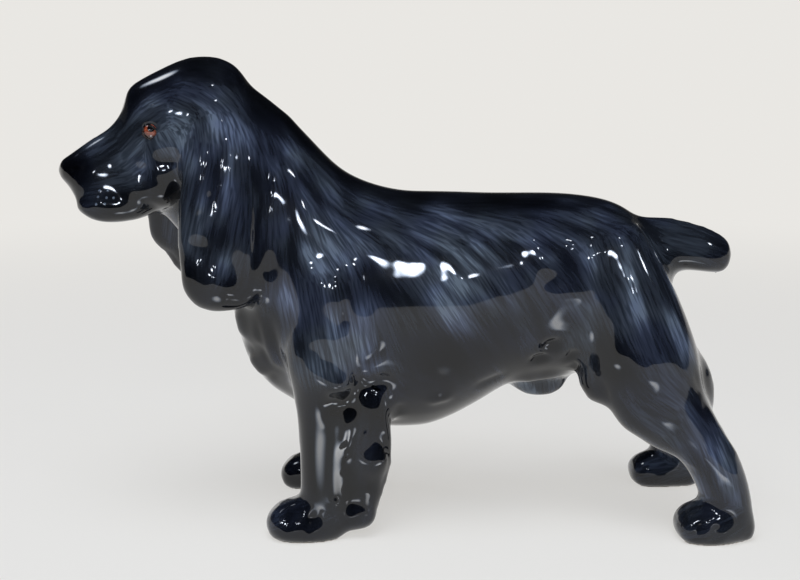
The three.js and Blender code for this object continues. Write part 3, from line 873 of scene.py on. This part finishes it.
dog = {}
for name in CASTINGS:
    nodes = [name] + [slip for slip in [SLIP_OF[name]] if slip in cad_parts]
    dog[name] = new_piece(f"{name}_skin", *castings[name], *nodes)
print("pieces:", ", ".join(piece.name for piece in dog.values()))

# %% [markdown]
# ## Eyes
# The eye is a ball of enamel with a clear bulge in front. The pupil looks a little upwards, so most of the
# amber shows below it. Each point keeps its place as the iris sees it, for the material; a texture map
# would stretch round the pupil.

# %% Enamel eyes
CORNEA = 0.16 * MM
CORNEA_EDGE = 0.6
CORNEA_CURVE = 1.5
PUPIL = (151.0, 128.4)


def eye_piece(side, gaze):
    """An eyeball with a clear bulge in front, and the place of each point as the iris sees it."""
    ball = bmesh.new()
    up = (Vector((0, 0, 1)) - gaze.z * gaze).normalized()
    axes = Matrix((up.cross(gaze), up, gaze))
    bmesh.ops.create_uvsphere(ball, u_segments=48, v_segments=32, radius=EYE_RADIUS)
    iris = []
    for vert in ball.verts:
        local = vert.co / EYE_RADIUS
        iris.append(list(local))
        bulge = CORNEA * max(0.0, (local.z - CORNEA_EDGE) / (1 - CORNEA_EDGE)) ** CORNEA_CURVE
        vert.co = eyes[side] + axes.transposed() @ (vert.co + local * bulge)
    ball.normal_update()
    ball.verts.index_update()
    points = [list(vert.co) for vert in ball.verts]
    faces = [[vert.index for vert in face.verts] for face in ball.faces]
    normals = [list(vert.normal) for vert in ball.verts]
    ball.free()
    finish = {"iris": np.array(iris)}
    piece = new_piece(f"{side}_eye_enamel", points, faces, normals, finish, f"{side}_eye")
    return piece


gaze = (on_ball(PUPIL, EYE_RADIUS) - eyes["left"]).normalized()
eye_pieces = [eye_piece("left", gaze), eye_piece("right", reflected(gaze, head_across))]
print("eyes:", [piece.name for piece in eye_pieces])

# %% [markdown]
# ## Paint and glaze
# The colour is black and blue-grey paint under a clear glaze. The paint layer is a little rough, and its
# strokes stand up slightly, so bright lamps break into streaks on it. The glaze is the coat of the
# Principled shader, smooth and sharp like a mirror. A glass shell round the dog could do the same, but it
# would take far longer to render. Only the soles are bare clay.


# %% Node helpers
def add(tree, kind, inputs=(), **settings):
    """A new node with its settings. Inputs are values, or sockets to link from."""
    made = tree.nodes.new(kind)
    for name, value in settings.items():
        setattr(made, name, value)
    for name, value in dict(inputs).items():
        if isinstance(value, bpy.types.NodeSocket):
            tree.links.new(value, made.inputs[name])
        else:
            made.inputs[name].default_value = value
    return made


def math_node(tree, operation, first, second=0.0):
    """The result of one step of arithmetic."""
    return add(tree, "ShaderNodeMath", {0: first, 1: second}, operation=operation).outputs[0]


def span(tree, value, low, high, to_low=0.0, to_high=1.0):
    """A value brought from one range to another, and held inside it."""
    limits = {"Value": value, "From Min": low, "From Max": high, "To Min": to_low, "To Max": to_high}
    return add(tree, "ShaderNodeMapRange", limits, interpolation_type="SMOOTHSTEP").outputs["Result"]


def mixed(tree, share, first, second, blend="MIX"):
    """Two colours mixed by a share."""
    node = add(tree, "ShaderNodeMix", {0: share, 6: first, 7: second}, data_type="RGBA", blend_type=blend)
    return node.outputs[2]


def new_material(name):
    """A material, its tree and its shader."""
    material = bpy.data.materials.new(name)
    material.use_nodes = True
    return material, material.node_tree, material.node_tree.nodes["Principled BSDF"]


# %% Hair streaks
HAIR_LENGTH = 9 * MM
HAIR_WIDTH = 0.58 * MM
HAIR_DEPTH = 3 * MM
WAY = math.pi / 16
HANDOVER = (0.25, 0.75)
NOISE_APART = 7.3


def combed_hair():
    """A group that draws fine streaks along the comb: two drawn-out noises, turned to the nearest ways."""
    group = bpy.data.node_groups.new("combed_hair", "ShaderNodeTree")
    group.interface.new_socket("Comb", in_out="INPUT", socket_type="NodeSocketVector")
    group.interface.new_socket("Streaks", in_out="OUTPUT", socket_type="NodeSocketFloat")
    given = group.nodes.new("NodeGroupInput").outputs["Comb"]
    comb = add(group, "ShaderNodeSeparateXYZ", {0: given}).outputs
    place = group.nodes.new("ShaderNodeTexCoord").outputs["Object"]
    ways = math_node(group, "DIVIDE", math_node(group, "ARCTAN2", comb["Z"], comb["X"]), WAY)
    first = math_node(group, "FLOOR", ways)
    drawn = []
    for number in (0, 1):
        way = math_node(group, "ADD", first, number)
        turned = {"Vector": place, "Angle": math_node(group, "MULTIPLY", way, WAY)}
        turned = add(group, "ShaderNodeVectorRotate", turned, rotation_type="Y_AXIS").outputs[0]
        size = {0: turned, 1: (HAIR_LENGTH, HAIR_DEPTH, HAIR_WIDTH)}
        scaled = add(group, "ShaderNodeVectorMath", size, operation="DIVIDE").outputs[0]
        apart = math_node(group, "MULTIPLY", way, NOISE_APART)
        noises = {"Vector": scaled, "W": apart, "Scale": 1.0, "Detail": 2.0}
        drawn.append(add(group, "ShaderNodeTexNoise", noises, noise_dimensions="4D").outputs[0])
    share = span(group, math_node(group, "SUBTRACT", ways, first), *HANDOVER)
    rest = math_node(group, "SUBTRACT", 1.0, share)
    shown = [math_node(group, "MULTIPLY", streaks, part) for streaks, part in zip(drawn, (rest, share))]
    out = group.nodes.new("NodeGroupOutput")
    group.links.new(math_node(group, "ADD", *shown), out.inputs["Streaks"])
    return group


hair_group = combed_hair()
print("nodes in the hair group:", len(hair_group.nodes))

# %% Colours of the paint
BISQUE = (0.58, 0.52, 0.44, 1)
BLUISH, GREENISH = (0.9, 1.0, 1.16, 1), (0.97, 1.06, 1.0, 1)
STRAND_NOISE, STRAND_PALENESS = (0.34, 0.66), (0.7, 1.3)
STOPS = [
    (0.0, (0.0008, 0.0008, 0.0011, 1)),
    (0.2, (0.0075, 0.0083, 0.012, 1)),
    (0.5, (0.028, 0.0316, 0.0442, 1)),
    (0.8, (0.064, 0.0728, 0.099, 1)),
    (1.0, (0.11, 0.1245, 0.163, 1)),
]
glaze, tree, shader = new_material("painted_glaze")
painted = add(tree, "ShaderNodeAttribute", attribute_name="paint").outputs["Fac"]
comb = add(tree, "ShaderNodeAttribute", attribute_name="comb").outputs["Vector"]
bare = add(tree, "ShaderNodeAttribute", attribute_name="sole").outputs["Fac"]
hairs = add(tree, "ShaderNodeGroup", {}, node_tree=hair_group)
tree.links.new(comb, hairs.inputs["Comb"])
strands = span(tree, hairs.outputs["Streaks"], *STRAND_NOISE, *STRAND_PALENESS)
paleness = math_node(tree, "MULTIPLY", painted, strands)
ramp = add(tree, "ShaderNodeValToRGB", {"Fac": paleness})
while len(ramp.color_ramp.elements) < len(STOPS):
    ramp.color_ramp.elements.new(0.5)
for element, (position, colour) in zip(ramp.color_ramp.elements, STOPS):
    element.position = position
    element.color = colour
place = tree.nodes.new("ShaderNodeTexCoord").outputs["Object"]
cloud = add(tree, "ShaderNodeTexNoise", {"Vector": place, "Scale": 70.0, "Detail": 2.0}).outputs[0]
tint = mixed(tree, span(tree, cloud, 0.35, 0.65), BLUISH, GREENISH)
colour = mixed(tree, 1.0, ramp.outputs["Color"], tint, "MULTIPLY")
tree.links.new(mixed(tree, bare, colour, BISQUE), shader.inputs["Base Color"])
print("stops of the paint:", len(STOPS))

# %% Painted glaze
BARE_ROUGHNESS = 0.8
rough = span(tree, paleness, 0.0, 0.8, 0.2, 0.4)
bare_rough = math_node(tree, "MULTIPLY", bare, BARE_ROUGHNESS)
tree.links.new(math_node(tree, "MAXIMUM", rough, bare_rough), shader.inputs["Roughness"])
tree.links.new(math_node(tree, "SUBTRACT", 1.0, bare), shader.inputs["Coat Weight"])
relief = add(tree, "ShaderNodeBump", {"Height": paleness, "Strength": 0.35, "Distance": 0.15 * MM})
tree.links.new(relief.outputs["Normal"], shader.inputs["Normal"])
shader.inputs["Specular IOR Level"].default_value = 0.03
shader.inputs["Coat Roughness"].default_value = 0.045
shader.inputs["Coat IOR"].default_value = 1.5
for piece in dog.values():
    piece.data.materials.append(glaze)
print("painted glaze on", len(dog), "pieces")

# %% [markdown]
# ## Amber enamel
# Enamel is coloured glass, melted on. Its amber is uneven, with fibres that run out from the pupil and a
# dark ring round its edge, under a smooth gloss. All of it is drawn from each point's place in the iris,
# so the eye needs no picture.

# %% Enamel of the eyes
DEEP_AMBER, LIGHT_AMBER = (0.14, 0.029, 0.014, 1), (0.38, 0.082, 0.036, 1)
RING, BACK_OF_EYE, PUPIL_BLACK = (0.03, 0.008, 0.005, 1), (0.01, 0.01, 0.01, 1), (0.002, 0.002, 0.003, 1)
enamel, tree, shader = new_material("amber_enamel")
iris = add(tree, "ShaderNodeAttribute", attribute_name="iris").outputs["Vector"]
parts = add(tree, "ShaderNodeSeparateXYZ", {0: iris})
flat = add(tree, "ShaderNodeCombineXYZ", {0: parts.outputs[0], 1: parts.outputs[1]}).outputs[0]
from_middle = add(tree, "ShaderNodeVectorMath", {0: flat}, operation="LENGTH").outputs["Value"]
spoke = add(tree, "ShaderNodeVectorMath", {0: flat}, operation="NORMALIZE").outputs["Vector"]
fibres = add(tree, "ShaderNodeTexNoise", {"Vector": spoke, "Scale": 9.0, "Detail": 2.0}).outputs[0]
amber = mixed(tree, span(tree, fibres, 0.35, 0.65), DEEP_AMBER, LIGHT_AMBER)
ringed = mixed(tree, span(tree, from_middle, 0.62, 0.92), amber, RING)
behind = span(tree, parts.outputs[2], -0.1, 0.1, 1.0, 0.0)
ringed = mixed(tree, behind, ringed, BACK_OF_EYE)
pupil = span(tree, from_middle, 0.38, 0.46, 1.0, 0.0)
tree.links.new(mixed(tree, pupil, ringed, PUPIL_BLACK), shader.inputs["Base Color"])
tree.links.new(span(tree, fibres, 0.3, 0.7, 0.06, 0.1), shader.inputs["Roughness"])
shader.inputs["Coat Weight"].default_value = 1.0
shader.inputs["Coat Roughness"].default_value = 0.03
for piece in eye_pieces:
    piece.data.materials.append(enamel)
print("enamel on", len(eye_pieces), "eyes")

# %% [markdown]
# ## Floor
# A glaze shows what stands round it, so the room matters as much as the paint. A wide pale floor turns up
# into a wall far away, like a studio sweep, and the room above it is dark: the glaze mirrors pale paper
# below and darkness above. The wall is low in front, where it would show on the flank. Near the dog the
# floor is lit by the lamps and takes its shadow; further off it glows evenly.

# %% Sweep of the floor
FLOOR_RADIUS = 5.0
BEND = 1.0
WALL_HEIGHT = 1.8
FLAT_RADII = (0.2, 0.8, 2.0)
ROUND = 72
SIDE_WALL, WALL_SLOPE, FRONT_WALL = 0.4, 1.5, 0.1
rises = np.linspace(0, math.pi / 2, 16)
profile = [(radius, 0.0) for radius in FLAT_RADII]
profile += [(FLOOR_RADIUS + BEND * math.sin(t), BEND - BEND * math.cos(t)) for t in rises]
profile += [(FLOOR_RADIUS + BEND, WALL_HEIGHT)]
sweep = bmesh.new()
rows = []
for radius, height in profile:
    turns = [2 * math.pi * i / ROUND for i in range(ROUND)]
    shares = [min(1.0, max(FRONT_WALL, SIDE_WALL + WALL_SLOPE * math.sin(t))) for t in turns]
    raised = [height * share for share in shares]
    row = [(radius * math.cos(t), radius * math.sin(t), rise) for t, rise in zip(turns, raised)]
    rows.append([sweep.verts.new(place) for place in row])
sweep.faces.new(rows[0])
for low, high in zip(rows, rows[1:]):
    for i in range(ROUND):
        sweep.faces.new((low[i], low[i - 1], high[i - 1], high[i]))
floor_mesh = bpy.data.meshes.new("floor")
sweep.to_mesh(floor_mesh)
sweep.free()
floor_mesh.polygons.foreach_set("use_smooth", np.ones(len(floor_mesh.polygons), bool))
floor = bpy.data.objects.new("floor", floor_mesh)
bpy.context.scene.collection.objects.link(floor)
print("floor:", len(floor_mesh.polygons), "faces")

# %% Paper of the floor
PALE = (0.815, 0.8, 0.77)
GLOW_STARTS, GLOW_FULL = 0.15, 0.8
paper = bpy.data.materials.new("pale_paper")
paper.use_nodes = True
tree = paper.node_tree
tree.nodes.clear()
ray = tree.nodes.new("ShaderNodeLightPath").outputs
seen = math_node(tree, "ADD", ray["Is Camera Ray"], ray["Is Glossy Ray"])
seen = math_node(tree, "MINIMUM", math_node(tree, "ADD", seen, ray["Is Transmission Ray"]), 1.0)
place = tree.nodes.new("ShaderNodeNewGeometry").outputs["Position"]
away = add(tree, "ShaderNodeVectorMath", {0: place}, operation="LENGTH").outputs["Value"]
even = span(tree, away, GLOW_STARTS, GLOW_FULL, 0.7, 1.0)
height = add(tree, "ShaderNodeSeparateXYZ", {0: place}).outputs["Z"]
strength = span(tree, height, 0.5, 0.9, 1.0, 0.05)
glow = add(tree, "ShaderNodeEmission", {"Color": (*PALE, 1), "Strength": strength}).outputs[0]
matt = add(tree, "ShaderNodeBsdfDiffuse", {"Color": (*PALE, 1)}).outputs[0]
share = math_node(tree, "MULTIPLY", seen, even)
surface = add(tree, "ShaderNodeMixShader", {0: share, 1: matt, 2: glow}).outputs[0]
add(tree, "ShaderNodeOutputMaterial", {"Surface": surface})
floor_mesh.materials.append(paper)
print("nodes in the paper:", len(tree.nodes))

# %% [markdown]
# ## Light
# One large soft lamp lights the dog and is kept out of its reflections. Small round lamps make the
# sparkles; each is given by the turn and the rise of its direction, its width and its power. Three more,
# hidden on the floor before the dog, make the soft gleams on its legs, and the last of them is narrow, so
# that it misses the belly. An environment picture could do all this, but its lamps could not be moved.

# %% Dark room
NIGHT = (0.008, 0.0088, 0.0115, 1)
world = bpy.data.worlds.new("studio")
bpy.context.scene.world = world
world.use_nodes = True
world.node_tree.nodes["Background"].inputs["Color"].default_value = NIGHT
print("room:", world.name)

# %% Lamps
LAMP_DISTANCE = 0.8
SPARKLES = [
    (-1.5, 29, 0.11, 1.8), (8, 25, 0.05, 0.25), (-17, 27, 0.08, 0.7), (15.5, 27, 0.065, 0.47),
    (17.5, 40, 0.05, 0.25), (20, 56, 0.05, 0.22), (54, 32, 0.08, 0.7), (-114, 53, 0.24, 1.25),
    (-27, 32, 0.065, 0.45),
]
LOW_LAMPS = [Vector((-40, -92, 3)) * MM, Vector((105, -95, 3)) * MM]
LOW_SIZE, LOW_POWER = 0.06, 0.045
LEG_LAMP, LEG_AIM = Vector((16, -62, 3)) * MM, Vector((-13, -25, 29)) * MM
LEG_SIZE, LEG_POWER, LEG_SPREAD = 0.026, 0.0011, math.radians(50)
SOFT_LAMP, SOFT_SIZE, SOFT_POWER = (-0.15, -0.45, 1.25), 1.6, 42
RIM_TINT, MIDDLE_TINT = (0.6, 0.75, 1.0, 1), (0.95, 0.97, 1.0, 1)


def lamp(name, place, size, power, aim=AIM):
    """A round lamp that points at the dog, bright in its middle and bluish where it fades to the rim."""
    data = bpy.data.lights.new(name, "AREA")
    data.shape = "DISK"
    data.size = size
    data.energy = power
    data.use_nodes = True
    tree = data.node_tree
    spot = tree.nodes.new("ShaderNodeNewGeometry").outputs["Parametric"]
    middle = add(tree, "ShaderNodeVectorMath", {0: spot, 1: (0.5, 0.5, 0)}, operation="DISTANCE")
    glow = span(tree, middle.outputs["Value"], 0.1, 0.5, 1.0, 0.0)
    tint = mixed(tree, glow, RIM_TINT, MIDDLE_TINT)
    tree.links.new(glow, tree.nodes["Emission"].inputs["Strength"])
    tree.links.new(tint, tree.nodes["Emission"].inputs["Color"])
    made = bpy.data.objects.new(name, data)
    made.location = place
    made.rotation_euler = (Vector(place) - aim).to_track_quat("Z", "Y").to_euler()
    made.visible_camera = False
    bpy.context.scene.collection.objects.link(made)
    return made


for number, (turn, rise, size, power) in enumerate(SPARKLES):
    turn, rise = math.radians(turn), math.radians(rise)
    way = Vector((math.sin(turn) * math.cos(rise), -math.cos(turn) * math.cos(rise), math.sin(rise)))
    lamp(f"sparkle_{number}", AIM + LAMP_DISTANCE * way, size, power)
for number, place in enumerate(LOW_LAMPS):
    lamp(f"low_{number}", place, LOW_SIZE, LOW_POWER, place + Vector((0, 0, 1)))
leg_lamp = lamp("leg_lamp", LEG_LAMP, LEG_SIZE, LEG_POWER, LEG_AIM)
leg_lamp.data.spread = LEG_SPREAD
soft = lamp("soft", SOFT_LAMP, SOFT_SIZE, SOFT_POWER)
soft.visible_glossy = False
bpy.context.scene.view_settings.view_transform = "Standard"
print("lamps:", len(bpy.data.lights))
